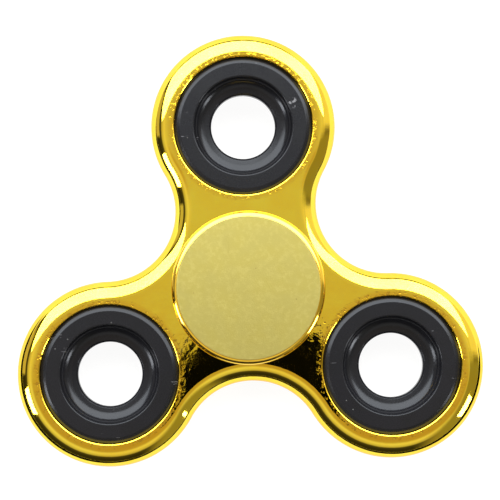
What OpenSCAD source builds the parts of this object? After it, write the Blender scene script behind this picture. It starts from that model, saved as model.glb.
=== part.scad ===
// Three-lobed hand spinner. A plated moulded body turns on a 608-size ball bearing.
// Two finger caps plug into the bearing's bore, one from each side, and three heavy
// rings sit in the lobes. The bearing is built whole: races, balls, riveted cage, shields.
//
// Frame: origin on the spin axis at mid-thickness, +Z out of the front face,
// +Y towards one lobe. Millimetres.

/* [Body] */
// Distance from the spin axis to each lobe's centre
pitch_r = 26; // [25.2:0.1:32]
// Wall around each weight ring, from the pocket to the lobe's outer edge
lobe_wall = 3.8; // [2.6:0.1:4.6]
// How far the body stands proud of the bearing, on each face
body_proud = 0.3; // [0.2:0.05:1.2]
// Radius of the rolled outer edge, on each face
edge_r = 3; // [0.5:0.1:3.4]
// Radius of the small round at the mouth of each pocket
mouth_r = 0.4; // [0.15:0.05:0.6]

/* [Weight rings] */
// Outer diameter of a ring, which fills its pocket
ring_d = 22; // [20:0.1:27]
// How far a ring lies below the body's face
ring_sink = 0.3; // [0.2:0.05:0.8]
// Diameter of the hole through a ring
ring_hole_d = 10.3; // [6:0.1:12]
// Diameter at which the ring's flat face ends and its bowl begins
ring_bowl_d = 15.8; // [14.4:0.1:17]
// Thickness of the web around the ring's hole
ring_web_t = 2; // [1:0.1:3]
// How far the bowl's wall leans in from rim to foot
ring_bowl_draft = 0.25; // [0.1:0.05:0.6]
// Radius of the round at the foot of the bowl
ring_bowl_r = 1.5; // [0.4:0.1:1.8]
// How much the web thickens from the hole to the foot of the bowl, on each face
ring_web_rise = 0.25; // [0.1:0.05:0.5]
// Bevel on the edges of the ring's hole
ring_hole_bevel = 0.3; // [0.1:0.05:0.4]
// Width of the bevel on the ring's outer edge
ring_bevel = 0.9; // [0.3:0.05:1.2]
// Depth of the bevel on the ring's outer edge
ring_bevel_depth = 0.6; // [0.3:0.05:1]

/* [Bearing] */
// Outer diameter of the bearing
bearing_d = 22; // [18.2:0.1:24]
// Bore of the bearing
bore_d = 8; // [6.6:0.1:9]
// Width of the bearing
bearing_w = 7; // [5.8:0.1:8.4]
// Diameter of a ball
ball_d = 3.97; // [3.2:0.01:4.2]
// Number of balls
balls = 7; // [7:1:7]
// Height of the race shoulders beside the balls
shoulder = 0.62; // [0.3:0.02:0.8]
// Gap between a ball and each race
ball_gap = 0.015; // [0.01:0.005:0.05]
// Bevel on the races' outer corners
race_bevel = 0.3; // [0.1:0.05:0.5]

/* [Cage] */
// Thickness of the cage's sheet
cage_sheet = 0.3; // [0.2:0.05:0.4]
// Gap between the cage and a ball
cage_ball_gap = 0.08; // [0.03:0.01:0.15]
// Gap between the cage and each race
cage_race_gap = 0.25; // [0.1:0.05:0.4]
// Diameter of a rivet's shank
rivet_d = 0.7; // [0.4:0.05:0.8]
// Diameter of a rivet's head
rivet_head_d = 1.1; // [0.9:0.05:1.2]
// Height of a rivet's head
rivet_head_h = 0.25; // [0.1:0.05:0.4]

/* [Shields] */
// Thickness of a shield
shield_t = 0.3; // [0.2:0.05:0.4]
// How far a shield lies below the bearing's face
shield_sink = 0.3; // [0.2:0.05:0.5]
// Running gap between a shield and the inner race
shield_gap = 0.12; // [0.05:0.01:0.3]
// Width of the step that opens the outer race for a shield
shield_step = 0.65; // [0.3:0.05:0.9]
// Depth of the groove that holds a shield's edge
shield_grip = 0.25; // [0.1:0.05:0.3]

/* [Finger caps] */
// Diameter of a cap
cap_d = 24.4; // [23:0.1:29.3]
// Thickness of a cap's disc
cap_t = 2.2; // [1.8:0.1:3.2]
// Gap between a cap and the body
cap_gap = 0.4; // [0.2:0.05:0.8]
// Radius of the round on a cap's outer edge
cap_edge_r = 0.9; // [0.3:0.05:1.2]
// Radius of the round on a cap's inner edge
cap_foot_r = 0.25; // [0.1:0.05:0.4]
// Thickness of the cap's finger plate
cap_plate_t = 1.3; // [1:0.1:1.6]
// Thickness of the cap's rim wall
cap_rim_t = 1.3; // [1:0.1:1.8]
// How far the cap's shoulder stays inside the edge of the inner race that it bears on
cap_shoulder_inset = 0.4; // [0.2:0.05:0.8]
// Gap between the tips of the two caps' plugs
plug_gap = 0.6; // [0.2:0.1:2]
// Bevel on the plug's tip
plug_bevel = 0.4; // [0.1:0.05:0.6]
// Wall of the plug around its core hole
plug_wall = 2.2; // [1.2:0.1:2.6]
// Solid left between the core hole and the finger face
plug_cover = 3.1; // [1.8:0.1:4]

/* [Hidden] */
$fn = 96;
lobe_angles = [90, 210, 330];
waist_angles = [30, 150, 270];
lobe_r = ring_d / 2 + lobe_wall;
body_t = bearing_w + 2 * body_proud;
rough_t = body_t + 0.02;        // the body's thickness before its faces are trimmed
seam_step = 0.04;               // how far a waist's edge lies inside the lobe's it meets
seam_lap = 0.5;                 // degrees by which a waist runs into a lobe
waist_r = pitch_r - lobe_r + seam_step;
web_r = 0.85 * pitch_r;         // a waist's web stops just short of its neighbours
spoke_w = 8;                    // so a strip this wide joins them
mouth_lift = 0.03;

ring_t = body_t - 2 * ring_sink;
ring_edge_r = 0.15;             // breaks the corners of a ring's bevel
ring_rim_r = 0.2;               // breaks the corner between a ring's face and its bowl

ball_r = ball_d / 2;
ball_pitch_r = (bearing_d + bore_d) / 4;
groove_r = 0.52 * ball_d;       // a ball track is a little rounder than its ball
groove_offset = groove_r - ball_r - ball_gap;
inner_shoulder_r = ball_pitch_r - ball_r - ball_gap + shoulder;
outer_shoulder_r = ball_pitch_r + ball_r + ball_gap - shoulder;

cage_in_r = inner_shoulder_r + cage_race_gap;
cage_out_r = outer_shoulder_r - cage_race_gap;
cage_ball_r = ball_r + cage_ball_gap;

shield_top = bearing_w / 2 - shield_sink;
shield_in_r = inner_shoulder_r + shield_gap;
shield_step_r = outer_shoulder_r + shield_step;
shield_out_r = shield_step_r + shield_grip;

cap_foot = body_t / 2 + cap_gap;
cap_top = cap_foot + cap_t;
cap_shoulder_r = inner_shoulder_r - cap_shoulder_inset;

ball_names = [for (i = [1:balls]) str("bearing_ball_", i)];

function unit(v) = v / norm(v);
function turn(a, b, c) = (b.x - a.x) * (c.y - b.y) - (b.y - a.y) * (c.x - b.x);

// A section that is the same on both faces: its upper outline, then that outline mirrored.
function both_faces(upper) =
    concat(upper, [for (i = [len(upper) - 1:-1:0]) [upper[i].x, -upper[i].y]]);
function both_radii(upper) =
    concat(upper, [for (i = [len(upper) - 1:-1:0]) upper[i]]);

module at_lobe(i) {
    rotate(lobe_angles[i]) translate([pitch_r, 0, 0]) children();
}

module at_ball(i) {
    rotate(90 + 360 / balls * i) translate([ball_pitch_r, 0, 0]) children();
}

module at_rivet(i) {
    rotate(180 / balls) at_ball(i) children();
}

module on_both_faces() {
    for (side = [0, 1]) mirror([0, 0, side]) children();
}

// The sliver between a corner and the round that replaces it. The round is drawn a trace
// large, so that it crosses both edges and leaves no hair between them.
module rounding(before, corner, after, r) {
    u = unit(before - corner);
    v = unit(after - corner);
    half = acos(u * v) / 2;
    centre = corner + unit(u + v) * r / sin(half);
    difference() {
        polygon([corner, corner + u * r / tan(half), centre, corner + v * r / tan(half)]);
        translate(centre) circle(1.002 * r);
    }
}

// A polygon, given anticlockwise, with each corner rounded to its own radius.
module rounded_polygon(points, radii) {
    n = len(points);
    before = [for (i = [0:n - 1]) points[(i + n - 1) % n]];
    after = [for (i = [0:n - 1]) points[(i + 1) % n]];
    rounds = [for (i = [0:n - 1]) if (radii[i] > 0) i];
    difference() {
        polygon(points);
        for (i = rounds) if (turn(before[i], points[i], after[i]) > 0)
            rounding(before[i], points[i], after[i], radii[i]);
    }
    for (i = rounds) if (turn(before[i], points[i], after[i]) < 0)
        rounding(before[i], points[i], after[i], radii[i]);
}

// ---- Body ----

// A lobe's outer two thirds. The sides it leaves open are where the waists begin.
module lobe() {
    rotate(-120) rotate_extrude(angle = 240) rounded_polygon(
        both_faces([[lobe_r, rough_t / 2], [0, rough_t / 2]]),
        both_radii([edge_r, 0]));
}

// The web beside one waist: a third of a ring about the waist's centre, rolled at its edge.
// It runs a little way into each lobe, just inside the lobe's own edge.
module waist() {
    rotate(120 - seam_lap) rotate_extrude(angle = 120 + 2 * seam_lap) rounded_polygon(
        both_faces([[web_r, rough_t / 2], [waist_r, rough_t / 2]]),
        both_radii([0, edge_r]));
}

// The flat strip between two neighbouring waists' webs.
module spoke() {
    translate([-pitch_r / 2, 0, 0])
        cube([pitch_r / 2 + spoke_w / 2, spoke_w, rough_t], center = true);
}

// A through pocket that flares with a small round at both mouths. The round's centre is
// lifted a little, so that it meets the body's face at a shallow edge.
module pocket(d) {
    round_z = body_t / 2 - mouth_r + mouth_lift;
    rotate_extrude() {
        translate([0, -body_t]) square([d / 2, 2 * body_t]);
        for (side = [0, 1]) mirror([0, side]) difference() {
            translate([0, round_z]) square([d / 2 + mouth_r, 2 * mouth_r]);
            translate([d / 2 + mouth_r, round_z]) circle(mouth_r);
        }
    }
}

// Lobes, waists and spokes are drawn a hair too thick, and one slab trims both faces flat.
module body() {
    color("gold") difference() {
        intersection() {
            union() {
                for (a = waist_angles) rotate(a) translate([pitch_r, 0, 0]) waist();
                for (i = [0:2]) at_lobe(i) {
                    lobe();
                    spoke();
                }
            }
            cylinder(r = 2 * pitch_r, h = body_t, center = true);
        }
        for (i = [0:2]) at_lobe(i) pocket(ring_d);
        pocket(bearing_d);
    }
}

// ---- Weight rings ----

// Flat faces, a bevelled outer edge, and on each face a bowl that falls to the hole.
module ring_section() {
    rim = ring_bowl_d / 2;
    hole = ring_hole_d / 2;
    upper = [
        [ring_d / 2, ring_t / 2 - ring_bevel_depth],
        [ring_d / 2 - ring_bevel, ring_t / 2],
        [rim, ring_t / 2],
        [rim - ring_bowl_draft, ring_web_t / 2 + ring_web_rise],
        [hole + ring_hole_bevel, ring_web_t / 2],
        [hole, ring_web_t / 2 - ring_hole_bevel]];
    radii = [ring_edge_r, ring_edge_r, ring_rim_r, ring_bowl_r, 0, 0];
    rounded_polygon(both_faces(upper), both_radii(radii));
}

module weight_ring(i) {
    color("dimgray") at_lobe(i) rotate_extrude() ring_section();
}

// ---- Bearing ----

// Shoulders beside the ball track, and a step and groove at each face for a shield.
module outer_race_section() {
    out = bearing_d / 2;
    difference() {
        polygon(both_faces([
            [out, bearing_w / 2 - race_bevel],
            [out - race_bevel, bearing_w / 2],
            [shield_step_r, bearing_w / 2],
            [shield_step_r, shield_top],
            [shield_out_r, shield_top],
            [shield_out_r, shield_top - shield_t],
            [outer_shoulder_r, shield_top - shield_t]]));
        translate([ball_pitch_r - groove_offset, 0]) circle(groove_r);
    }
}

module bearing_outer_race() {
    color("silver") rotate_extrude() outer_race_section();
}

module inner_race_section() {
    bore = bore_d / 2;
    difference() {
        polygon(both_faces([
            [inner_shoulder_r, bearing_w / 2],
            [bore + race_bevel, bearing_w / 2],
            [bore, bearing_w / 2 - race_bevel]]));
        translate([ball_pitch_r + groove_offset, 0]) circle(groove_r);
    }
}

module bearing_inner_race() {
    color("silver") rotate_extrude() inner_race_section();
}

module bearing_ball(i) {
    color("lightsteelblue") at_ball(i) sphere(ball_r);
}

// The stamped half above mid-plane: a flat ribbon with a half-round pocket over each ball.
module cage_half() {
    difference() {
        intersection() {
            rotate_extrude() translate([cage_in_r, 0])
                square([cage_out_r - cage_in_r, ball_d]);
            union() {
                cylinder(r = cage_out_r + 1, h = cage_sheet);
                for (i = [0:balls - 1]) at_ball(i) sphere(cage_ball_r + cage_sheet);
            }
        }
        for (i = [0:balls - 1]) {
            at_ball(i) sphere(cage_ball_r);
            at_rivet(i) cylinder(d = rivet_d, h = 3 * cage_sheet, center = true);
        }
    }
}

module cage_front_half() {
    color("tan") cage_half();
}

module cage_rear_half() {
    color("tan") mirror([0, 0, 1]) cage_half();
}

module rivet() {
    cylinder(d = rivet_d, h = 2 * cage_sheet, center = true);
    on_both_faces()
        translate([0, 0, cage_sheet]) cylinder(d = rivet_head_d, h = rivet_head_h);
}

module cage_rivets() {
    color("peru") for (i = [0:balls - 1]) at_rivet(i) rivet();
}

module shield() {
    rotate_extrude() translate([shield_in_r, shield_top - shield_t])
        square([shield_out_r - shield_in_r, shield_t]);
}

module front_shield() {
    color("gainsboro") shield();
}

module rear_shield() {
    color("gainsboro") mirror([0, 0, 1]) shield();
}

// ---- Finger caps ----

// A cored disc whose shoulder bears on the inner race and whose plug fills its bore.
module cap_section() {
    rim_in = cap_d / 2 - cap_rim_t;
    under_plate = cap_top - cap_plate_t;
    tip = plug_gap / 2;
    core_r = bore_d / 2 - plug_wall;
    core_end = cap_top - plug_cover;
    rounded_polygon([
        [core_r, tip],
        [bore_d / 2 - plug_bevel, tip],
        [bore_d / 2, tip + plug_bevel],
        [bore_d / 2, bearing_w / 2],
        [cap_shoulder_r, bearing_w / 2],
        [cap_shoulder_r, under_plate],
        [rim_in, under_plate],
        [rim_in, cap_foot],
        [cap_d / 2, cap_foot],
        [cap_d / 2, cap_top],
        [0, cap_top],
        [0, core_end],
        [core_r, core_end]],
        [0, 0, 0, 0, 0, 0, 0, 0, cap_foot_r, cap_edge_r, 0, 0, 0]);
}

module front_cap() {
    color("khaki") rotate_extrude() cap_section();
}

module rear_cap() {
    color("khaki") mirror([0, 0, 1]) rotate_extrude() cap_section();
}

body();
weight_ring(0);  // weight_ring_top
weight_ring(1);  // weight_ring_left
weight_ring(2);  // weight_ring_right
bearing_outer_race();
bearing_inner_race();
for (i = [0:balls - 1])
    bearing_ball(i);
cage_front_half();
cage_rear_half();
cage_rivets();
front_shield();
rear_shield();
front_cap();
rear_cap();
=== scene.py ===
"""Hand spinner: a gold plated trefoil body with black weight rings, held between finger caps."""

import functools
import logging
import math
from collections.abc import Callable, Sequence
from dataclasses import dataclass, field
from enum import Enum
from typing import Any

import bmesh
import bpy
from mathutils import Matrix, Vector


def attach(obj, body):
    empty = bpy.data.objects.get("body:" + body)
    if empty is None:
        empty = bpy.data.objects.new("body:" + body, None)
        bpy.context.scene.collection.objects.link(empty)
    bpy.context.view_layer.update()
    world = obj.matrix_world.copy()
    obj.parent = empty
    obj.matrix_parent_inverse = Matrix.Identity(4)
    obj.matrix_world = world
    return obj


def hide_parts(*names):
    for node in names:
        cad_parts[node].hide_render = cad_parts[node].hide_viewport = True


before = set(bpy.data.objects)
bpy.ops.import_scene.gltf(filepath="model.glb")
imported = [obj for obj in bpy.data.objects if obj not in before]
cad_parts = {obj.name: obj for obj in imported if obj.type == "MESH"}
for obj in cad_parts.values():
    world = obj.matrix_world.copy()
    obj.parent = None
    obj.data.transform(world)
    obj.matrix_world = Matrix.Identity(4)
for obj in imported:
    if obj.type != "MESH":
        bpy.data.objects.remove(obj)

LOG = logging.getLogger("hand_spinner")
MM = 0.001
UP = Vector((0.0, 0.0, 1.0))
WHITE = (1.0, 1.0, 1.0, 1.0)
# How close two points have to be to become one, in millimetres: in any piece, and where the
# body's lobes and waists meet.
WELD = 0.001
SEAM_WELD = 0.002
# How far below a face a point may lie and still count as on it, in millimetres.
FACE_SLACK = 0.001
# The power of a softbox for each square metre of its face, at a glow of 1.
POWER_PER_GLOW = 4.0
Colour = tuple[float, float, float, float]
Outline = list[tuple[float, float]]


class Lobe(Enum):
    """The three arms of the body, each with the angle at which it stands, in degrees."""

    TOP = 90.0
    LEFT = 210.0
    RIGHT = 330.0

    def centre(self, pitch: float) -> tuple[float, float]:
        """The lobe's centre in millimetres, at that pitch radius."""
        turn = math.radians(self.value)
        return (pitch * math.cos(turn), pitch * math.sin(turn))


class Side(Enum):
    """The two faces of the spinner."""

    FRONT = 1.0
    REAR = -1.0


# ---- Turned shapes ----


@dataclass(frozen=True)
class Corner:
    """One corner of a section: its radius from the axis, its height, and how far it is rounded."""

    r: float
    z: float
    round: float = 0.05


@dataclass(frozen=True)
class Section:
    """A section that is turned about an upright axis, in millimetres.

    Each round is drawn in short steps, and a guard point beside it keeps the straight that
    follows exactly flat when the piece is shaded smooth.
    """

    corners: tuple[Corner, ...]
    closed: bool = True
    steps: int = 7
    guard: float = 0.06

    def outline(self) -> Outline:
        """The section as a chain of points.

        Returns:
            The points, as pairs of radius and height, in order along the section.
        """
        chain: Outline = []
        count = len(self.corners)
        for place, corner in enumerate(self.corners):
            if not self.closed and place in (0, count - 1):
                chain.append((corner.r, corner.z))
                continue
            before = self.corners[place - 1]
            after = self.corners[(place + 1) % count]
            chain.extend(self._rounded(before, corner, after))
        return chain

    def _rounded(self, before: Corner, corner: Corner, after: Corner) -> Outline:
        """The points that replace one corner.

        Args:
            before: the corner before it.
            corner: the corner itself.
            after: the corner after it.

        Returns:
            A guard point, the points of the round, and another guard point.
        """
        here = Vector((corner.r, corner.z))
        back = (Vector((before.r, before.z)) - here).normalized()
        on = (Vector((after.r, after.z)) - here).normalized()
        half = back.angle(on) / 2.0
        reach = corner.round / math.tan(half)
        hub = here + (back + on).normalized() * corner.round / math.sin(half)
        first = here + back * reach - hub
        last = here + on * reach - hub
        sweep = first.angle_signed(last)
        points = [here + back * (reach + self.guard)]
        for step in range(self.steps + 1):
            turned = Matrix.Rotation(-sweep * step / self.steps, 2) @ first
            points.append(hub + turned)
        points.append(here + on * (reach + self.guard))
        return [(point.x, point.y) for point in points]


def turn(
    bm: bmesh.types.BMesh,
    outline: Outline,
    centre: tuple[float, float] = (0.0, 0.0),
    start: float = 0.0,
    sweep: float = 360.0,
    steps: int = 144,
    closed: bool = False,
) -> None:
    """Spins an outline about an upright axis.

    Args:
        bm: the mesh it is added to.
        outline: pairs of radius and height, in millimetres.
        centre: where the axis stands.
        start: the angle of the first copy, in degrees.
        sweep: how far it is spun, in degrees.
        steps: how many steps the spin takes.
        closed: whether the outline's last point joins its first.
    """
    ray = Vector((math.cos(math.radians(start)), math.sin(math.radians(start)), 0.0))
    hub = Vector((centre[0], centre[1], 0.0))
    verts = [bm.verts.new(hub + ray * r + UP * z) for r, z in outline]
    edges = [bm.edges.new(pair) for pair in zip(verts, verts[1:])]
    if closed:
        edges.append(bm.edges.new((verts[-1], verts[0])))
    bmesh.ops.spin(
        bm,
        geom=verts + edges,
        cent=hub,
        axis=UP,
        angle=math.radians(sweep),
        steps=steps,
        use_merge=sweep >= 360.0,
    )


def finished(bm: bmesh.types.BMesh, name: str, material: bpy.types.Material) -> bpy.types.Object:
    """Turns a mesh in millimetres into a piece in metres.

    Args:
        bm: the mesh, which is freed.
        name: the piece's name.
        material: the piece's finish.

    Returns:
        The new piece, at the origin.
    """
    bmesh.ops.remove_doubles(bm, verts=bm.verts, dist=WELD)
    bmesh.ops.recalc_face_normals(bm, faces=bm.faces)
    bmesh.ops.scale(bm, vec=(MM, MM, MM), verts=bm.verts)
    for face in bm.faces:
        face.smooth = True
    mesh = bpy.data.meshes.new(name)
    bm.to_mesh(mesh)
    bm.free()
    mesh.materials.append(material)
    piece = bpy.data.objects.new(name, mesh)
    bpy.context.scene.collection.objects.link(piece)
    return piece


# ---- Node wiring ----


class Wiring:
    """Adds nodes to one node tree and joins them."""

    def __init__(self, tree: bpy.types.NodeTree) -> None:
        """Keeps the tree that the nodes go into."""
        self.tree = tree

    def node(self, kind: str, inputs: dict[Any, Any] | None = None, **settings: Any) -> bpy.types.Node:
        """Adds one node.

        Args:
            kind: the node's type.
            inputs: for each input, the socket that feeds it or the value it holds.
            **settings: properties of the node itself.

        Returns:
            The new node.
        """
        node = self.tree.nodes.new(kind)
        for key, value in settings.items():
            setattr(node, key, value)
        for key, value in (inputs or {}).items():
            if isinstance(value, bpy.types.NodeSocket):
                self.tree.links.new(value, node.inputs[key])
            else:
                node.inputs[key].default_value = value
        return node

    def math(self, operation: str, *terms: Any, clamp: bool = False) -> bpy.types.NodeSocket:
        """The result of a Math node with those terms."""
        inputs = dict(enumerate(terms))
        return self.node("ShaderNodeMath", inputs, operation=operation, use_clamp=clamp).outputs[0]

    def ramped(
        self, value: Any, low: float, high: float, start: float = 0.0, end: float = 1.0
    ) -> bpy.types.NodeSocket:
        """A smooth step of a value from start, at low, to end, at high."""
        inputs = {0: value, 1: low, 2: high, 3: start, 4: end}
        return self.node("ShaderNodeMapRange", inputs, interpolation_type="SMOOTHSTEP").outputs[0]

    def mixed(self, mask: Any, below: Any, above: Any) -> bpy.types.NodeSocket:
        """One colour where the mask is 0, the other where it is 1."""
        inputs = {0: mask, 6: below, 7: above}
        return self.node("ShaderNodeMix", inputs, data_type="RGBA").outputs[2]

    def product(self, terms: Sequence[Any]) -> bpy.types.NodeSocket:
        """All the terms multiplied together."""
        return functools.reduce(lambda total, term: self.math("MULTIPLY", total, term), terms)

    def noise(
        self, scale: Any, detail: float = 2.0, vector: Any = None, rough: float = 0.5
    ) -> bpy.types.NodeSocket:
        """Noise on the object's own coordinates, or on another vector.

        Args:
            scale: how many waves there are to the metre.
            detail: how many finer layers are added.
            vector: the coordinates, where they aren't the object's own.
            rough: how strong the finer layers are.

        Returns:
            The noise, from 0 to 1.
        """
        if vector is None:
            vector = self.place()
        inputs = {"Vector": vector, "Scale": scale, "Detail": detail, "Roughness": rough}
        return self.node("ShaderNodeTexNoise", inputs).outputs[0]

    def place(self) -> bpy.types.NodeSocket:
        """The object's own coordinates."""
        return self.node("ShaderNodeTexCoord").outputs["Object"]

    def place_parts(self) -> bpy.types.NodeOutputs:
        """The object's own coordinates, as three separate numbers."""
        return self.node("ShaderNodeSeparateXYZ", {0: self.place()}).outputs

    def length(self, east: Any, north: Any) -> bpy.types.NodeSocket:
        """How far a point is from an upright axis."""
        squares = [self.math("POWER", part, 2.0) for part in (east, north)]
        return self.math("SQRT", self.math("ADD", *squares))


@dataclass(frozen=True)
class Effect:
    """A surface effect that several finishes share, kept as one node group.

    Attributes:
        name: the group's name.
        inputs: each input's name and its starting value.
        outputs: each output's name.
        wire: joins the group's nodes, given its wiring, its inputs and its outputs.
    """

    name: str
    inputs: tuple[tuple[str, float], ...]
    outputs: tuple[str, ...]
    wire: Callable[[Wiring, Any, Any], None]

    def group(self) -> bpy.types.NodeTree:
        """The node group, made when it is first asked for.

        Returns:
            The group.
        """
        made = bpy.data.node_groups.get(self.name)
        if made is not None:
            return made
        tree = bpy.data.node_groups.new(self.name, "ShaderNodeTree")
        for name, value in self.inputs:
            socket = tree.interface.new_socket(name, in_out="INPUT", socket_type="NodeSocketFloat")
            socket.default_value = value
        for name in self.outputs:
            tree.interface.new_socket(name, in_out="OUTPUT", socket_type="NodeSocketFloat")
        wiring = Wiring(tree)
        given = wiring.node("NodeGroupInput")
        result = wiring.node("NodeGroupOutput")
        self.wire(wiring, given.outputs, result.inputs)
        return tree

    def placed(self, wiring: Wiring, **values: float) -> bpy.types.Node:
        """Places the group in a material, with its own values.

        Args:
            wiring: the material's wiring.
            **values: the inputs that differ from the start, with _ for each space in a name.

        Returns:
            The group's node.
        """
        node = wiring.node("ShaderNodeGroup", node_tree=self.group())
        for name, value in values.items():
            node.inputs[name.replace("_", " ")].default_value = value
        return node


def wire_waviness(wiring: Wiring, given: Any, result: Any) -> None:
    """Orange peel: broad soft waves with a finer ripple on them.

    Args:
        wiring: the group's wiring.
        given: the group's inputs.
        result: the sockets that it fills.
    """
    broad = wiring.noise(given["Broad Scale"], 1.0)
    fine = wiring.noise(given["Fine Scale"], 2.0)
    rippled = wiring.math("MULTIPLY_ADD", fine, given["Fine Share"], broad)
    wiring.tree.links.new(rippled, result["Height"])


def wire_specks(wiring: Wiring, given: Any, result: Any) -> None:
    """Small pits and dust: a dot in some of the cells of a cell pattern.

    Args:
        wiring: the group's wiring.
        given: the group's inputs.
        result: the sockets that it fills.
    """
    cells = wiring.node("ShaderNodeTexVoronoi", {"Vector": wiring.place(), "Scale": given["Scale"]})
    near = wiring.math("LESS_THAN", cells.outputs["Distance"], given["Size"])
    colour = wiring.node("ShaderNodeSeparateColor", {0: cells.outputs["Color"]})
    chosen = wiring.math("LESS_THAN", colour.outputs[0], given["Share"])
    wiring.tree.links.new(wiring.math("MULTIPLY", near, chosen), result["Mask"])


def wire_grain(wiring: Wiring, given: Any, result: Any) -> None:
    """Satin grain: an even fine mottle, with its share of coarser cloudiness.

    Args:
        wiring: the group's wiring.
        given: the group's inputs.
        result: the sockets that it fills.
    """
    fine = wiring.noise(given["Scale"], 3.0, rough=0.65)
    cloud_scale = wiring.math("MULTIPLY", given["Scale"], 0.08)
    cloud = wiring.noise(cloud_scale, 3.0)
    wiring.tree.links.new(fine, result["Height"])
    wiring.tree.links.new(cloud, result["Cloud"])


def wire_scuffs(wiring: Wiring, given: Any, result: Any) -> None:
    """Hair scratches in two directions, broken up so that they come in patches.

    Args:
        wiring: the group's wiring.
        given: the group's inputs.
        result: the sockets that it fills.
    """
    lines = None
    for turn_by, stretch in ((0.5, 14.0), (2.1, 20.0)):
        mapping = wiring.node(
            "ShaderNodeMapping",
            {"Vector": wiring.place(), "Rotation": (0.0, 0.0, turn_by), "Scale": (1.0, stretch, 1.0)},
        )
        streak = wiring.noise(given["Scale"], 2.0, mapping.outputs[0])
        line = wiring.ramped(streak, 0.66, 0.72)
        lines = line if lines is None else wiring.math("MAXIMUM", lines, line)
    patch_scale = wiring.math("MULTIPLY", given["Scale"], 1.6)
    patch = wiring.noise(patch_scale, 2.0)
    patches = wiring.math("GREATER_THAN", patch, given["Cut"])
    wiring.tree.links.new(wiring.math("MULTIPLY", lines, patches), result["Mask"])


def wire_ring_band(wiring: Wiring, given: Any, result: Any) -> None:
    """A soft band about an upright axis, between two radii in millimetres.

    Args:
        wiring: the group's wiring.
        given: the group's inputs.
        result: the sockets that it fills.
    """
    parts = wiring.place_parts()
    offsets = [
        wiring.math("MULTIPLY_ADD", parts[axis], 1.0 / MM, wiring.math("MULTIPLY", given[name], -1.0))
        for axis, name in enumerate(("East", "North"))
    ]
    reach = wiring.length(*offsets)
    inside = wiring.math("SUBTRACT", reach, given["Inner"])
    outside = wiring.math("SUBTRACT", given["Outer"], reach)
    within = wiring.math("MINIMUM", inside, outside)
    soft = wiring.math("MULTIPLY", within, given["Sharpness"], clamp=True)
    wiring.tree.links.new(soft, result["Mask"])


def wire_turning(wiring: Wiring, given: Any, result: Any) -> None:
    """Fine lathe lines, as rings about the spin axis.

    Args:
        wiring: the group's wiring.
        given: the group's inputs.
        result: the sockets that it fills.
    """
    parts = wiring.place_parts()
    reach = wiring.length(parts[0], parts[1])
    along = wiring.node("ShaderNodeCombineXYZ", {0: reach, 1: parts[2]})
    lines = wiring.noise(given["Scale"], 3.0, along.outputs[0])
    wiring.tree.links.new(lines, result["Height"])


WAVINESS = Effect(
    "waviness",
    (("Broad Scale", 220.0), ("Fine Scale", 900.0), ("Fine Share", 0.3)),
    ("Height",),
    wire_waviness,
)
SPECKS = Effect("specks", (("Scale", 900.0), ("Size", 0.1), ("Share", 0.2)), ("Mask",), wire_specks)
GRAIN = Effect("grain", (("Scale", 6000.0),), ("Height", "Cloud"), wire_grain)
SCUFFS = Effect("scuffs", (("Scale", 160.0), ("Cut", 0.55)), ("Mask",), wire_scuffs)
RING_BAND = Effect(
    "ring_band",
    (("East", 0.0), ("North", 0.0), ("Inner", 1.0), ("Outer", 2.0), ("Sharpness", 2.0)),
    ("Mask",),
    wire_ring_band,
)
TURNING = Effect("turning", (("Scale", 9000.0),), ("Height",), wire_turning)


# ---- Finishes ----


@dataclass(frozen=True)
class Finish:
    """What every finish has: a name, and a way to make its material once.

    The lengths in a finish are in millimetres, and a pair of roughnesses is its range.
    """

    name: str

    def material(self) -> bpy.types.Material:
        """The finish as a material, made when it is first asked for.

        Returns:
            The material.
        """
        made = bpy.data.materials.get(self.name)
        if made is not None:
            return made
        made = bpy.data.materials.new(self.name)
        made.use_nodes = True
        made.node_tree.nodes.clear()
        wiring = Wiring(made.node_tree)
        shader = wiring.node("ShaderNodeBsdfPrincipled")
        output = wiring.node("ShaderNodeOutputMaterial")
        made.node_tree.links.new(shader.outputs[0], output.inputs["Surface"])
        self.dress(wiring, shader)
        return made

    def dress(self, wiring: Wiring, shader: bpy.types.Node) -> None:
        """Sets the shader's sockets. Each finish has its own way."""
        raise NotImplementedError

    def feed(
        self, wiring: Wiring, shader: bpy.types.Node, name: str, source: bpy.types.NodeSocket
    ) -> None:
        """Joins a source to one of the shader's sockets."""
        wiring.tree.links.new(source, shader.inputs[name])

    def bumped(
        self, wiring: Wiring, shader: bpy.types.Node, height: bpy.types.NodeSocket, depth: float
    ) -> None:
        """Raises the surface by a height pattern, whose full depth is given in millimetres."""
        inputs = {"Height": height, "Distance": depth * MM, "Strength": 1.0}
        self.feed(wiring, shader, "Normal", wiring.node("ShaderNodeBump", inputs).outputs[0])


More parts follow.
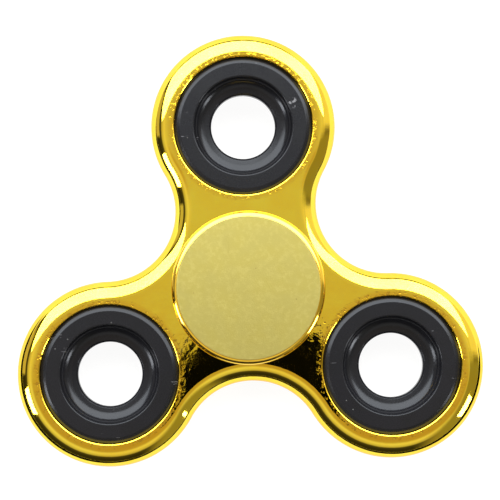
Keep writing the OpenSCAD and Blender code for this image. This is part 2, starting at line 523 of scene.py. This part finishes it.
@dataclass(frozen=True)
class MirrorGold(Finish):
    """Bright gold plating under a thin clear lacquer, with orange peel and a few flaws."""

    gold: Colour = (0.94, 0.72, 0.045, 1.0)
    deep: Colour = (0.93, 0.66, 0.035, 1.0)
    stain: Colour = (0.82, 0.47, 0.02, 1.0)
    flaw: Colour = (0.40, 0.20, 0.02, 1.0)
    pitch: float = 26.0
    mouth: float = 11.1
    fringe: float = 1.1
    wave_depth: float = 0.030
    roughness: tuple[float, float] = (0.02, 0.05)

    def dress(self, wiring: Wiring, shader: bpy.types.Node) -> None:
        """Plating whose tone drifts, with brown fringes and pits beside the pocket mouths.

        Args:
            wiring: the material's wiring.
            shader: its Principled BSDF.
        """
        drift = wiring.noise(140.0, 3.0)
        tone = wiring.mixed(wiring.ramped(drift, 0.38, 0.64), self.gold, self.deep)
        fringe = self._fringe(wiring)
        mottle = wiring.ramped(wiring.noise(1500.0, 3.0, rough=0.7), 0.52, 0.66)
        stained = wiring.math("MULTIPLY", fringe, mottle)
        specks = SPECKS.placed(wiring, Scale=420.0, Size=0.07, Share=0.06).outputs["Mask"]
        faint = wiring.math("MULTIPLY", stained, 0.45)
        flaws = wiring.math("MAXIMUM", faint, wiring.math("MULTIPLY", specks, 0.7))
        rubbed = wiring.mixed(wiring.math("MULTIPLY", fringe, 0.55), tone, self.stain)
        self.feed(wiring, shader, "Base Color", wiring.mixed(flaws, rubbed, self.flaw))
        shader.inputs["Metallic"].default_value = 1.0
        shader.inputs["Specular Tint"].default_value = (1.0, 0.70, 0.30, 1.0)
        shader.inputs["Coat Weight"].default_value = 0.6
        shader.inputs["Coat Roughness"].default_value = 0.015
        shader.inputs["Coat IOR"].default_value = 1.45
        scuffs = SCUFFS.placed(wiring, Scale=120.0, Cut=0.60).outputs["Mask"]
        haze = wiring.ramped(wiring.noise(300.0, 3.0), 0.35, 0.7, *self.roughness)
        rubs = wiring.math("MULTIPLY_ADD", scuffs, 0.05, haze)
        self.feed(wiring, shader, "Roughness", wiring.math("MULTIPLY_ADD", flaws, 0.2, rubs))
        waves = WAVINESS.placed(wiring, Broad_Scale=210.0, Fine_Scale=1000.0, Fine_Share=0.22)
        marks = wiring.math("MAXIMUM", stained, flaws)
        pits = wiring.math("MULTIPLY_ADD", marks, -0.30, waves.outputs["Height"])
        self.bumped(wiring, shader, pits, self.wave_depth)

    def _fringe(self, wiring: Wiring) -> bpy.types.NodeSocket:
        """A mask that is 1 just outside the mouth of each of the four pockets.

        Args:
            wiring: the material's wiring.

        Returns:
            The mask.
        """
        mask = None
        centres = [lobe.centre(self.pitch) for lobe in Lobe] + [(0.0, 0.0)]
        for east, north in centres:
            band = RING_BAND.placed(
                wiring,
                East=east,
                North=north,
                Inner=self.mouth - 0.4,
                Outer=self.mouth + self.fringe,
                Sharpness=1.6,
            ).outputs["Mask"]
            mask = band if mask is None else wiring.math("MAXIMUM", mask, band)
        return mask


@dataclass(frozen=True)
class SatinGold(Finish):
    """Gold plated cap: a blasted satin face inside a bright rolled rim."""

    face: Colour = (0.35, 0.305, 0.090, 1.0)
    rim: Colour = (0.93, 0.62, 0.07, 1.0)
    fleck: Colour = (0.17, 0.12, 0.03, 1.0)
    rim_start: float = 11.3
    face_roughness: float = 0.36
    rim_roughness: float = 0.07

    def dress(self, wiring: Wiring, shader: bpy.types.Node) -> None:
        """Satin within the rim's start, bright beyond it, with specks in the satin.

        Args:
            wiring: the material's wiring.
            shader: its Principled BSDF.
        """
        rim = RING_BAND.placed(wiring, Inner=self.rim_start, Outer=40.0, Sharpness=5.0).outputs["Mask"]
        grain = GRAIN.placed(wiring, Scale=5200.0)
        cloud = wiring.ramped(grain.outputs["Cloud"], 0.36, 0.64)
        warm = (self.face[0] * 0.985, self.face[1] * 0.975, self.face[2] * 0.90, 1.0)
        pale = (self.face[0] * 1.09, self.face[1] * 1.08, self.face[2] * 1.12, 1.0)
        freckles = wiring.ramped(wiring.noise(1300.0, 4.0, rough=0.7), 0.46, 0.66)
        satin = wiring.mixed(freckles, wiring.mixed(cloud, self.face, warm), pale)
        specks = SPECKS.placed(wiring, Scale=800.0, Size=0.09, Share=0.10).outputs["Mask"]
        marked = wiring.mixed(wiring.math("MULTIPLY", specks, 0.55), satin, self.fleck)
        self.feed(wiring, shader, "Base Color", wiring.mixed(rim, marked, self.rim))
        shader.inputs["Metallic"].default_value = 1.0
        scuffs = SCUFFS.placed(wiring, Scale=150.0, Cut=0.56).outputs["Mask"]
        matt = wiring.math("MULTIPLY_ADD", cloud, 0.015, self.face_roughness)
        worn = wiring.math("MULTIPLY_ADD", scuffs, -0.08, matt)
        spread = self.rim_roughness - self.face_roughness
        rough = wiring.math("MULTIPLY_ADD", rim, spread, worn, clamp=True)
        self.feed(wiring, shader, "Roughness", rough)
        blasted = wiring.math("MULTIPLY", grain.outputs["Height"], wiring.math("SUBTRACT", 1.0, rim))
        self.bumped(wiring, shader, blasted, 0.014)


@dataclass(frozen=True)
class BlackPaint(Finish):
    """Satin black paint on steel, with soft unevenness, dust and a few bright scuffs."""

    paint: Colour = (0.006, 0.006, 0.0075, 1.0)
    worn: Colour = (0.005, 0.005, 0.006, 1.0)
    scuff: Colour = (0.12, 0.12, 0.13, 1.0)
    dust: Colour = (0.10, 0.10, 0.10, 1.0)
    knock: tuple[float, float] = (8.1, 29.5)
    knock_r: float = 1.1

    def dress(self, wiring: Wiring, shader: bpy.types.Node) -> None:
        """Paint that is a little uneven, with dust specks and scuffed patches.

        Args:
            wiring: the material's wiring.
            shader: its Principled BSDF.
        """
        grain = GRAIN.placed(wiring, Scale=3200.0)
        uneven = wiring.ramped(grain.outputs["Cloud"], 0.4, 0.66)
        paint = wiring.mixed(uneven, self.paint, self.worn)
        specks = SPECKS.placed(wiring, Scale=1000.0, Size=0.11, Share=0.05).outputs["Mask"]
        dusty = wiring.mixed(wiring.math("MULTIPLY", specks, 0.5), paint, self.dust)
        scuffs = SCUFFS.placed(wiring, Scale=240.0, Cut=0.67).outputs["Mask"]
        chips = wiring.ramped(wiring.noise(1500.0, 3.0, rough=0.7), 0.56, 0.62)
        knocked = wiring.math("MULTIPLY", self._knock(wiring), chips)
        marks = wiring.math("MAXIMUM", wiring.math("MULTIPLY", scuffs, 0.6), knocked)
        self.feed(wiring, shader, "Base Color", wiring.mixed(marks, dusty, self.scuff))
        shader.inputs["Specular IOR Level"].default_value = 0.25
        shader.inputs["Specular Tint"].default_value = (0.88, 0.92, 1.0, 1.0)
        rough = wiring.ramped(grain.outputs["Cloud"], 0.35, 0.7, 0.20, 0.24)
        self.feed(wiring, shader, "Roughness", rough)
        raised = wiring.math("MULTIPLY_ADD", marks, -0.5, grain.outputs["Height"])
        self.bumped(wiring, shader, raised, 0.004)

    def _knock(self, wiring: Wiring) -> bpy.types.NodeSocket:
        """A mask over the one spot where the paint has been knocked.

        Args:
            wiring: the material's wiring.

        Returns:
            The mask.
        """
        east, north = self.knock
        reach = {"Inner": -9.0, "Outer": self.knock_r, "Sharpness": 1.5}
        return RING_BAND.placed(wiring, East=east, North=north, **reach).outputs["Mask"]


@dataclass(frozen=True)
class TurnedSteel(Finish):
    """Ground or stamped steel with fine turning lines and a trace of oil haze."""

    bright: Colour = (0.62, 0.63, 0.65, 1.0)
    dull: Colour = (0.42, 0.42, 0.43, 1.0)
    roughness: tuple[float, float] = (0.16, 0.30)
    depth: float = 0.004

    def dress(self, wiring: Wiring, shader: bpy.types.Node) -> None:
        """Rings of lighter and duller metal, with haze and small pits.

        Args:
            wiring: the material's wiring.
            shader: its Principled BSDF.
        """
        lines = TURNING.placed(wiring, Scale=9000.0).outputs["Height"]
        haze = wiring.noise(420.0, 3.0)
        worn = wiring.math("MULTIPLY_ADD", lines, 0.6, wiring.math("MULTIPLY", haze, 0.5))
        blend = wiring.ramped(worn, 0.35, 0.75)
        specks = SPECKS.placed(wiring, Scale=1300.0, Size=0.12, Share=0.08).outputs["Mask"]
        pitted = wiring.math("MULTIPLY", specks, 0.5)
        tone = wiring.mixed(pitted, wiring.mixed(blend, self.bright, self.dull), self.dull)
        self.feed(wiring, shader, "Base Color", tone)
        shader.inputs["Metallic"].default_value = 1.0
        self.feed(wiring, shader, "Roughness", wiring.ramped(haze, 0.35, 0.7, *self.roughness))
        self.bumped(wiring, shader, lines, self.depth)


@dataclass(frozen=True)
class StageFloor(Finish):
    """The plain pale table top: one even tone, with a glow of its own where it is a light table.

    Attributes:
        tone: the colour of its surface.
        glow: how brightly it shines.
        clear_below: whether it lets the underside of the piece be seen through it.
    """

    tone: Colour = (0.86, 0.86, 0.86, 1.0)
    glow: float = 0.0
    clear_below: bool = False

    def dress(self, wiring: Wiring, shader: bpy.types.Node) -> None:
        """One even pale tone, lit from below where it glows, and clear from below if asked.

        Args:
            wiring: the material's wiring.
            shader: its Principled BSDF.
        """
        shader.inputs["Base Color"].default_value = self.tone
        shader.inputs["Emission Color"].default_value = WHITE
        shader.inputs["Emission Strength"].default_value = self.glow
        shader.inputs["Roughness"].default_value = 0.9
        shader.inputs["Specular IOR Level"].default_value = 0.0
        if self.clear_below:
            below = wiring.node("ShaderNodeNewGeometry").outputs["Backfacing"]
            self.feed(wiring, shader, "Alpha", wiring.math("SUBTRACT", 1.0, below))


GOLD_PLATING = MirrorGold("mirror_gold_plate")
CAP_GOLD = SatinGold("satin_cap_gold")
BLACK_PAINT = BlackPaint("satin_black_paint")
RACE_STEEL = TurnedSteel("ground_race_steel")
SHIELD_SHEET = TurnedSteel(
    "pressed_shield_steel", bright=(0.52, 0.53, 0.55, 1.0), roughness=(0.22, 0.36)
)
CAGE_SHEET = TurnedSteel(
    "stamped_cage_steel",
    bright=(0.50, 0.44, 0.36, 1.0),
    dull=(0.36, 0.31, 0.25, 1.0),
    roughness=(0.25, 0.4),
)
RIVET_STEEL = TurnedSteel("dull_rivet_steel", bright=(0.44, 0.42, 0.40, 1.0), roughness=(0.3, 0.42))
BALL_STEEL = TurnedSteel(
    "polished_ball_steel",
    bright=(0.72, 0.73, 0.75, 1.0),
    dull=(0.62, 0.63, 0.65, 1.0),
    roughness=(0.04, 0.09),
    depth=0.001,
)


# ---- Pieces ----


@dataclass
class PlatedBody:
    """The trefoil body: three lobes joined by three waists, rolled edges and four pockets.

    Attributes:
        pitch: how far out the lobes and the waists stand, in millimetres, as are all its sizes.
        lobe_r: a lobe's radius.
        half: half the body's thickness.
        roll: the radius of the rolled edge.
        pocket_r: a pocket's radius.
        mouth_r: the round at a pocket's mouth.
        mouth_lift: how far that round is raised, which leaves a crisp edge at the face.
        mouth_steps: the steps in that round.
        margin: the radius at which the narrow flat beside a pocket ends.
        web_margin: the width of the narrow flat beside a rolled edge.
        wall_guard: how far a guard point stands from the round, on a pocket's wall.
        face_guard: the same, on the face.
        edge_guard: the same, on the outer wall.
        roll_steps: the steps in a rolled edge.
        lobe_steps: the steps round a lobe.
        finish: its coating.
    """

    pitch: float = 26.0
    lobe_r: float = 14.8
    half: float = 3.8
    roll: float = 3.0
    pocket_r: float = 11.0
    mouth_r: float = 0.4
    mouth_lift: float = 0.03
    mouth_steps: int = 6
    margin: float = 11.35
    web_margin: float = 0.1
    wall_guard: float = 0.1
    face_guard: float = 0.06
    edge_guard: float = 0.15
    roll_steps: int = 24
    lobe_steps: int = 132
    finish: Finish = GOLD_PLATING

    def build(self) -> bpy.types.Object:
        """Spins the edges and pocket walls, fills the web between them, and mirrors it all.

        Returns:
            The body.
        """
        bm = bmesh.new()
        for lobe in Lobe:
            centre = lobe.centre(self.pitch)
            outer = self._pocket_edge() + self._web_edge() + self._rolled(self.lobe_r, 1.0)
            turn(bm, outer, centre, lobe.value - 120.0, 240.0, self.lobe_steps)
            turn(bm, self._pocket_edge(), centre, lobe.value + 120.0, 120.0, self.lobe_steps // 2)
            waist_turn = lobe.value - 60.0
            waist = (
                self.pitch * math.cos(math.radians(waist_turn)),
                self.pitch * math.sin(math.radians(waist_turn)),
            )
            flank = self._rolled(self.pitch - self.lobe_r, -1.0)
            web = [(self.pitch - self.lobe_r + self.roll + self.web_margin, self.half)]
            turn(bm, web + flank, waist, waist_turn + 120.0, 120.0, self.lobe_steps // 2)
        turn(bm, self._pocket_edge(), steps=self.lobe_steps)
        bmesh.ops.remove_doubles(bm, verts=bm.verts, dist=SEAM_WELD)
        self._fill_web(bm)
        everything = bm.verts[:] + bm.edges[:] + bm.faces[:]
        bmesh.ops.mirror(bm, geom=everything, matrix=Matrix.Identity(4), merge_dist=WELD, axis="Z")
        piece = finished(bm, "plated_body", self.finish.material())
        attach(piece, "rotor")
        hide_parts("body")
        return piece

    def _pocket_edge(self) -> Outline:
        """A pocket's wall, its flared mouth and a narrow flat beside it.

        Returns:
            The outline, from mid-thickness up and outwards.
        """
        hub_r = self.pocket_r + self.mouth_r
        hub_z = self.half - self.mouth_r + self.mouth_lift
        end = math.pi - math.asin((self.half - hub_z) / self.mouth_r)
        outline = [(self.pocket_r, 0.0), (self.pocket_r, hub_z - self.wall_guard)]
        for step in range(self.mouth_steps + 1):
            angle = math.pi + (end - math.pi) * step / self.mouth_steps
            across = self.mouth_r * math.cos(angle)
            outline.append((hub_r + across, hub_z + self.mouth_r * math.sin(angle)))
        return outline + [(self.margin - self.face_guard, self.half), (self.margin, self.half)]

    def _web_edge(self) -> Outline:
        """The flat between a lobe's pocket and its rolled edge."""
        return [(self.lobe_r - self.roll - self.web_margin, self.half)]

    def _rolled(self, wall: float, outward: float) -> Outline:
        """The quarter round from the face to the wall, and the wall down to mid-thickness.

        Args:
            wall: the wall's radius.
            outward: 1 where the wall is outside the round's centre, -1 where it is inside.

        Returns:
            The outline, from the face down.
        """
        hub_r = wall - outward * self.roll
        hub_z = self.half - self.roll
        outline = []
        for step in range(self.roll_steps + 1):
            angle = math.pi / 2 * step / self.roll_steps
            across = outward * self.roll * math.sin(angle)
            outline.append((hub_r + across, hub_z + self.roll * math.cos(angle)))
        return outline + [(wall, hub_z - self.edge_guard), (wall, 0.0)]

    def _fill_web(self, bm: bmesh.types.BMesh) -> None:
        """Fills the flat web between the pockets and the waists.

        Args:
            bm: the upper half of the body, open where the web belongs.
        """
        rim = [
            edge
            for edge in bm.edges
            if edge.is_boundary and all(vert.co.z > self.half - FACE_SLACK for vert in edge.verts)
        ]
        bmesh.ops.triangle_fill(bm, use_beauty=True, use_dissolve=False, edges=rim, normal=UP)


@dataclass
class WeightRing:
    """A painted steel ring: a bevelled rim, and on each face a bowl that falls to the hole.

    Attributes:
        lobe: the lobe that it sits in.
        pitch: how far out that lobe stands, in millimetres, as are all its sizes.
        outer_r: its radius.
        half: half its thickness.
        bevel: how wide the rim's bevel is.
        bevel_depth: how deep it is.
        bevel_round: the round between it and the face.
        bowl_r: the bowl's radius at the face.
        draft: how far the bowl's wall leans in.
        bowl_round: the round at the bowl's foot.
        web_half: half the thickness beside the hole.
        web_rise: how much the web thickens towards the bowl's foot.
        hole_r: the hole's radius.
        hole_bevel: the bevel at its edge.
        finish: its coating.
    """

    lobe: Lobe
    pitch: float = 26.0
    outer_r: float = 11.0
    half: float = 3.5
    bevel: float = 0.9
    bevel_depth: float = 0.42
    bevel_round: float = 0.3
    bowl_r: float = 7.9
    draft: float = 0.25
    bowl_round: float = 1.85
    web_half: float = 1.0
    web_rise: float = 0.25
    hole_r: float = 5.15
    hole_bevel: float = 0.3
    finish: Finish = BLACK_PAINT

    def build(self) -> bpy.types.Object:
        """Turns the ring's section about the lobe's axis.

        Returns:
            The ring.
        """
        upper = (
            Corner(self.outer_r, self.half - self.bevel_depth, 0.15),
            Corner(self.outer_r - self.bevel, self.half, self.bevel_round),
            Corner(self.bowl_r, self.half, 0.2),
            Corner(self.bowl_r - self.draft, self.web_half + self.web_rise, self.bowl_round),
            Corner(self.hole_r + self.hole_bevel, self.web_half, 0.08),
            Corner(self.hole_r, self.web_half - self.hole_bevel, 0.08),
        )
        lower = tuple(Corner(corner.r, -corner.z, corner.round) for corner in reversed(upper))
        bm = bmesh.new()
        turn(bm, Section(upper + lower).outline(), self.lobe.centre(self.pitch), closed=True)
        name = self.lobe.name.lower()
        piece = finished(bm, f"painted_ring_{name}", self.finish.material())
        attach(piece, "rotor")
        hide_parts(f"weight_ring_{name}")
        return piece


@dataclass
class FingerCap:
    """A cap: a satin disc with a rolled rim, cored behind, on a plug that fills the bore.

    Attributes:
        side: the face that it is on.
        outer_r: its radius, in millimetres, as are all its sizes.
        top: how far its face is from mid-thickness.
        foot: how far the rim's lower edge is from it.
        edge_r: the round between the face and the rim.
        foot_r: the round under the rim.
        rim_t: the rim's thickness.
        plate_t: the face's thickness.
        shoulder_r: the radius of the shoulder that rests on the bearing.
        bearing_half: half the bearing's width.
        bore_r: the radius of the bearing's bore.
        tip: how far the plug stops short of mid-thickness.
        plug_bevel: the bevel at the plug's tip.
        plug_wall: the plug's wall.
        cover: how thick the cap is over the plug's hollow.
        finish: its coating.
    """

    side: Side
    outer_r: float = 12.2
    top: float = 6.4
    foot: float = 4.2
    edge_r: float = 0.9
    foot_r: float = 0.25
    rim_t: float = 1.3
    plate_t: float = 1.3
    shoulder_r: float = 5.3
    bearing_half: float = 3.5
    bore_r: float = 4.0
    tip: float = 0.3
    plug_bevel: float = 0.4
    plug_wall: float = 2.2
    cover: float = 3.1
    finish: Finish = CAP_GOLD

    def build(self) -> bpy.types.Object:
        """Turns the cap's section about the spin axis, and flips it for the rear one.

        Returns:
            The cap.
        """
        under = self.top - self.plate_t
        rim_in = self.outer_r - self.rim_t
        core = self.bore_r - self.plug_wall
        corners = (
            Corner(0.0, self.top),
            Corner(self.outer_r, self.top, self.edge_r),
            Corner(self.outer_r, self.foot, self.foot_r),
            Corner(rim_in, self.foot, 0.08),
            Corner(rim_in, under, 0.08),
            Corner(self.shoulder_r, under, 0.08),
            Corner(self.shoulder_r, self.bearing_half, 0.04),
            Corner(self.bore_r, self.bearing_half, 0.04),
            Corner(self.bore_r, self.tip + self.plug_bevel, 0.04),
            Corner(self.bore_r - self.plug_bevel, self.tip, 0.04),
            Corner(core, self.tip, 0.04),
            Corner(core, self.top - self.cover, 0.08),
            Corner(0.0, self.top - self.cover),
        )
        outline = Section(corners, closed=False, steps=10).outline()
        bm = bmesh.new()
        turn(bm, [(r, z * self.side.value) for r, z in outline])
        name = self.side.name.lower()
        piece = finished(bm, f"{name}_finger_cap", self.finish.material())
        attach(piece, "hub")
        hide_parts(f"{name}_cap")
        return piece


@dataclass
class BearingDress:
    """The finishes of the bearing's own parts, which keep their CAD shapes."""

    finishes: dict[str, Finish] = field(
        default_factory=lambda: {
            "bearing_outer_race": RACE_STEEL,
            "bearing_inner_race": RACE_STEEL,
            "front_shield": SHIELD_SHEET,
            "rear_shield": SHIELD_SHEET,
            "cage_front_half": CAGE_SHEET,
            "cage_rear_half": CAGE_SHEET,
            "cage_rivets": RIVET_STEEL,
        }
    )
    balls: int = 7

    def dress(self) -> list[str]:
        """Gives every bearing part its finish.

        Returns:
            The names of the parts dressed.
        """
        plan = dict(self.finishes)
        for number in range(1, self.balls + 1):
            plan[f"bearing_ball_{number}"] = BALL_STEEL
        for name, finish in plan.items():
            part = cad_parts[name]
            for place in part.material_slots:
                place.material = finish.material()
        return list(plan)


# ---- Studio ----


@dataclass(frozen=True)
class Softbox:
    """One soft light, placed by the direction in which it is seen from the spinner.

    Attributes:
        azimuth: its compass angle about the spin axis, in degrees.
        zenith: how far it stands from straight overhead, in degrees.
        distance: how far away it is, in metres.
        width: its size across, in metres.
        height: its size up and down, in metres.
        glow: the brightness of its face.
        tint: its colour.
    """

    name: str
    azimuth: float
    zenith: float
    distance: float
    width: float
    height: float
    glow: float
    tint: tuple[float, float, float] = (1.0, 1.0, 1.0)

    def build(self) -> bpy.types.Object:
        """Makes the light, facing the spinner.

        Returns:
            The light.
        """
        around = math.radians(self.azimuth)
        down = math.radians(self.zenith)
        out = math.sin(down)
        way = Vector((out * math.cos(around), out * math.sin(around), math.cos(down)))
        data = bpy.data.lights.new(self.name, "AREA")
        data.shape = "RECTANGLE"
        data.size = self.width
        data.size_y = self.height
        data.energy = self.glow * self.width * self.height * POWER_PER_GLOW
        data.color = self.tint
        light = bpy.data.objects.new(self.name, data)
        light.matrix_world = Matrix.Translation(way * self.distance) @ facing(way, UP)
        light.visible_camera = False
        bpy.context.scene.collection.objects.link(light)
        return light


def facing(back: Vector, up: Vector) -> Matrix:
    """A turn whose -Z looks against back, with its Y as near as can be to up.

    Args:
        back: the direction from the target towards the viewer.
        up: the direction that should be up.

    Returns:
        The turn, as a 4 by 4 matrix.
    """
    z_axis = back.normalized()
    x_axis = up.cross(z_axis).normalized()
    y_axis = z_axis.cross(x_axis)
    return Matrix((x_axis, y_axis, z_axis)).transposed().to_4x4()


@dataclass(frozen=True)
class DarkCard:
    """A dark card that shows only in the polished metal: a ring, or part of one, in millimetres.

    Attributes:
        centre: the middle of the ring.
        inner: its inner radius.
        outer: its outer radius.
        start: the angle at which it starts, in degrees.
        sweep: how far round it goes, in degrees.
    """

    name: str
    centre: tuple[float, float, float]
    inner: float
    outer: float
    start: float
    sweep: float

    def build(self) -> bpy.types.Object:
        """Spins the card, and keeps it out of the camera's sight.

        Returns:
            The card.
        """
        bm = bmesh.new()
        rim = [(self.inner, self.centre[2]), (self.outer, self.centre[2])]
        turn(bm, rim, (self.centre[0], self.centre[1]), self.start, self.sweep, 48)
        paper = StageFloor("card_paper", tone=(0.002, 0.002, 0.002, 1.0))
        card = finished(bm, self.name, paper.material())
        card.visible_camera = False
        card.visible_shadow = False
        card.visible_diffuse = False
        return card


@dataclass(frozen=True)
class RoomPatch:
    """One side of the room, lighter or darker than the rest.

    Attributes:
        colour: its colour.
        bounds: for each bound, the axis it is on, where the patch starts and where it is full.
    """

    colour: Colour
    bounds: tuple[tuple[int, float, float], ...]


@dataclass
class Studio:
    """A pale table, a large soft light behind the top lobe, two small ones, and the camera.

    Attributes:
        floor_z: the height of the table's top, in millimetres.
        floor_size: the length of its side, in metres.
        height: how far the camera stands above what it is aimed at, in millimetres.
        foot: where it stands, in millimetres.
        aim: what it is aimed at, in millimetres.
        roll: how far it is turned about its own line of sight, in degrees.
        lens: its focal length, in millimetres.
        cards: the dark cards.
        lights: the softboxes.
        room_tones: the room's tone at each height, from the horizon at 0 to overhead at 1.
        room_patches: what is laid over those tones, in order.
        backdrop: the room's tone where it is looked at straight.
    """

    floor_z: float = -6.42
    floor_size: float = 3.0
    height: float = 316.0
    foot: tuple[float, float] = (-3.4, -5.6)
    aim: tuple[float, float, float] = (0.46, 6.05, 3.8)
    roll: float = -1.81
    lens: float = 143.0
    cards: tuple[DarkCard, ...] = (
        DarkCard("lens_card", (5.0, -28.0, 320.0), 0.5, 27.0, 0.0, 360.0),
        DarkCard("front_card", (0.0, 0.0, -5.8), 62.0, 600.0, 160.0, 195.0),
    )
    lights: tuple[Softbox, ...] = (
        Softbox("window_light", 90.0, 48.0, 0.70, 1.8, 0.92, 5.5, (0.97, 1.0, 1.0)),
        Softbox("left_light", 198.0, 66.0, 0.60, 0.16, 0.28, 11.0),
        Softbox("right_light", 330.0, 72.0, 0.60, 0.14, 0.28, 11.0),
    )
    room_tones: tuple[tuple[float, Colour], ...] = (
        (0.0, (0.05, 0.045, 0.04, 1.0)),
        (0.30, (0.03, 0.028, 0.026, 1.0)),
        (0.54, (0.07, 0.065, 0.06, 1.0)),
        (0.64, (0.58, 0.54, 0.46, 1.0)),
        (0.82, (0.90, 0.84, 0.72, 1.0)),
        (0.94, (0.74, 0.69, 0.60, 1.0)),
        (1.0, (0.68, 0.66, 0.58, 1.0)),
    )
    room_patches: tuple[RoomPatch, ...] = (
        RoomPatch((1.0, 0.92, 0.80, 1.0), ((0, 0.45, 0.70), (2, 0.78, 0.66), (1, -0.02, 0.12))),
        RoomPatch((0.56, 0.42, 0.24, 1.0), ((1, 0.06, -0.10), (2, 0.86, 0.95))),
        RoomPatch((0.62, 0.55, 0.45, 1.0), ((0, -0.80, -0.90), (2, 0.42, 0.36), (1, -0.02, 0.04))),
        RoomPatch((0.32, 0.29, 0.18, 1.0), ((0, 0.25, 0.55), (1, 0.10, -0.06), (2, 0.93, 0.86))),
    )
    backdrop: Colour = (0.90, 0.90, 0.90, 1.0)

    def build(self) -> None:
        """Makes the table, the lights, the surround, the dark cards and the camera."""
        floor = self._sheet("table_top", self.floor_size / MM, self.floor_z)
        acrylic = StageFloor(
            "table_top_acrylic", tone=(0.12, 0.12, 0.12, 1.0), glow=0.92, clear_below=True
        )
        floor.data.materials.append(acrylic.material())
        for light in self.lights:
            light.build()
        self._surround()
        for card in self.cards:
            card.build()
        self._camera()
        view = bpy.context.scene.view_settings
        view.view_transform = "Standard"
        view.look = "None"

    def _sheet(self, name: str, size: float, z: float) -> bpy.types.Object:
        """A flat square that belongs to the stage.

        Args:
            name: its name.
            size: the length of its side, in millimetres.
            z: its height, in millimetres.

        Returns:
            The square.
        """
        bm = bmesh.new()
        bmesh.ops.create_grid(bm, x_segments=1, y_segments=1, size=size * MM / 2)
        bmesh.ops.translate(bm, vec=(0.0, 0.0, z * MM), verts=bm.verts)
        mesh = bpy.data.meshes.new(name)
        bm.to_mesh(mesh)
        bm.free()
        sheet = bpy.data.objects.new(name, mesh)
        bpy.context.scene.collection.objects.link(sheet)
        return sheet

    def _surround(self) -> None:
        """A room that is mid-toned overhead, brighter on the right, and dark low down.

        Looked at straight, it is a pale backdrop; the room itself shows only in the gold.
        """
        world = bpy.data.worlds.new("studio_room")
        bpy.context.scene.world = world
        world.use_nodes = True
        world.node_tree.nodes.clear()
        wiring = Wiring(world.node_tree)
        way = wiring.node("ShaderNodeTexCoord").outputs["Generated"]
        parts = wiring.node("ShaderNodeSeparateXYZ", {0: way}).outputs
        ramp = wiring.node("ShaderNodeValToRGB", {0: parts[2]})
        ends = ramp.color_ramp.elements
        ends[0].position, ends[0].color = self.room_tones[0]
        ends[1].position, ends[1].color = self.room_tones[-1]
        for position, colour in self.room_tones[1:-1]:
            ends.new(position).color = colour
        room = ramp.outputs[0]
        for patch in self.room_patches:
            steps = [wiring.ramped(parts[axis], low, high) for axis, low, high in patch.bounds]
            room = wiring.mixed(wiring.product(steps), room, patch.colour)
        seen = wiring.node("ShaderNodeLightPath").outputs["Is Camera Ray"]
        lit = wiring.mixed(seen, room, self.backdrop)
        back = wiring.node("ShaderNodeBackground", {0: lit, 1: 1.0})
        output = wiring.node("ShaderNodeOutputWorld")
        world.node_tree.links.new(back.outputs[0], output.inputs[0])

    def _camera(self) -> None:
        """A long lens, almost overhead and a little in front of the spin axis."""
        data = bpy.data.cameras.new("camera")
        data.lens = self.lens
        data.sensor_width = 36.0
        data.clip_start = 0.01
        data.clip_end = 10.0
        camera = bpy.data.objects.new("camera", data)
        aim = Vector(self.aim) * MM
        place = Vector((self.foot[0], self.foot[1], self.aim[2] + self.height)) * MM
        tilt = math.radians(self.roll)
        up = Vector((-math.sin(tilt), math.cos(tilt), 0.0))
        camera.matrix_world = Matrix.Translation(place) @ facing(place - aim, up)
        bpy.context.scene.collection.objects.link(camera)
        bpy.context.scene.camera = camera


def main() -> None:
    """Builds every sub-assembly in order."""
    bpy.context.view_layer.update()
    pieces = [PlatedBody().build()]
    pieces.extend(WeightRing(lobe).build() for lobe in Lobe)
    pieces.extend(FingerCap(side).build() for side in Side)
    for piece in pieces:
        LOG.info("built %s with %d faces", piece.name, len(piece.data.polygons))
    for name in BearingDress().dress():
        LOG.info("dressed %s", name)
    Studio().build()


if __name__ == "__main__":
    logging.basicConfig(level=logging.INFO)
    main()
